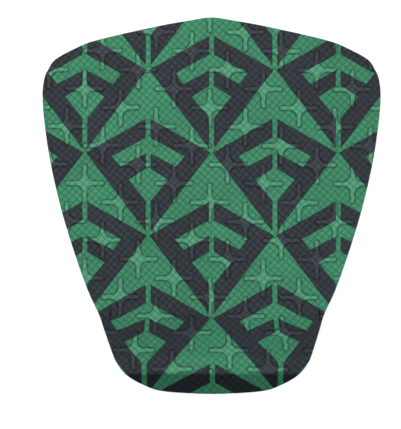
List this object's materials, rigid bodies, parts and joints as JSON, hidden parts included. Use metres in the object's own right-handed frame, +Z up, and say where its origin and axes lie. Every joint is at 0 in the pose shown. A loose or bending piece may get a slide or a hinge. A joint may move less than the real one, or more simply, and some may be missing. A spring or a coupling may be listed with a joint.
{
  "type": "stomp pad",
  "caption": "Self-adhesive foam traction pad with an arched wide end, a raised kick at the narrow end, and a green skin inlaid with charcoal.",
  "frame": {"origin": "middle of the underside's bounding rectangle, on the face that sticks to the board", "axes": "+X across the pad to the right, +Y along the pad towards the wide arched end, +Z up out of the grip surface"},
  "size_m": [0.2392, 0.258, 0.0322],
  "materials": {
    "adhesive_film": "satin",
    "base_foam": "matte",
    "green_foam": "matte",
    "charcoal_foam": "matte"
  },
  "bodies": {
    "root": {"adhesive_sheet": "adhesive_film", "base_foam": "base_foam", "kick_sheet_1": "base_foam", "kick_sheet_2": "base_foam", "kick_sheet_3": "base_foam", "green_web": "green_foam", "green_chip_left": "green_foam", "green_chip_right": "green_foam", "green_edge_left": "green_foam", "green_edge_right": "green_foam", "inlay_row1_col3_left": "charcoal_foam", "inlay_row1_col3_right": "charcoal_foam", "inlay_row1_col5_left": "charcoal_foam", "inlay_row1_col5_right": "charcoal_foam", "inlay_row2_col2_left": "charcoal_foam", "inlay_row2_col2_right": "charcoal_foam", "inlay_row2_col4_left": "charcoal_foam", "inlay_row2_col4_right": "charcoal_foam", "inlay_row2_col6_left": "charcoal_foam", "inlay_row2_col6_right": "charcoal_foam", "inlay_row3_col1_right": "charcoal_foam", "inlay_row3_col3_left": "charcoal_foam", "inlay_row3_col3_right": "charcoal_foam", "inlay_row3_col5_left": "charcoal_foam", "inlay_row3_col5_right": "charcoal_foam", "inlay_row3_col7_left": "charcoal_foam", "inlay_row4_col2_left_front": "charcoal_foam", "inlay_row4_col2_left_rear": "charcoal_foam", "inlay_row4_col2_right": "charcoal_foam", "inlay_row4_col4_left": "charcoal_foam", "inlay_row4_col4_right": "charcoal_foam", "inlay_row4_col6_left": "charcoal_foam", "inlay_row4_col6_right_front": "charcoal_foam", "inlay_row4_col6_right_rear": "charcoal_foam", "inlay_row5_col3_left": "charcoal_foam", "inlay_row5_col3_right": "charcoal_foam", "inlay_row5_col5_left": "charcoal_foam", "inlay_row5_col5_right": "charcoal_foam", "inlay_row6_col4_left": "charcoal_foam", "inlay_row6_col4_right": "charcoal_foam"}
  },
  "joints": []
}
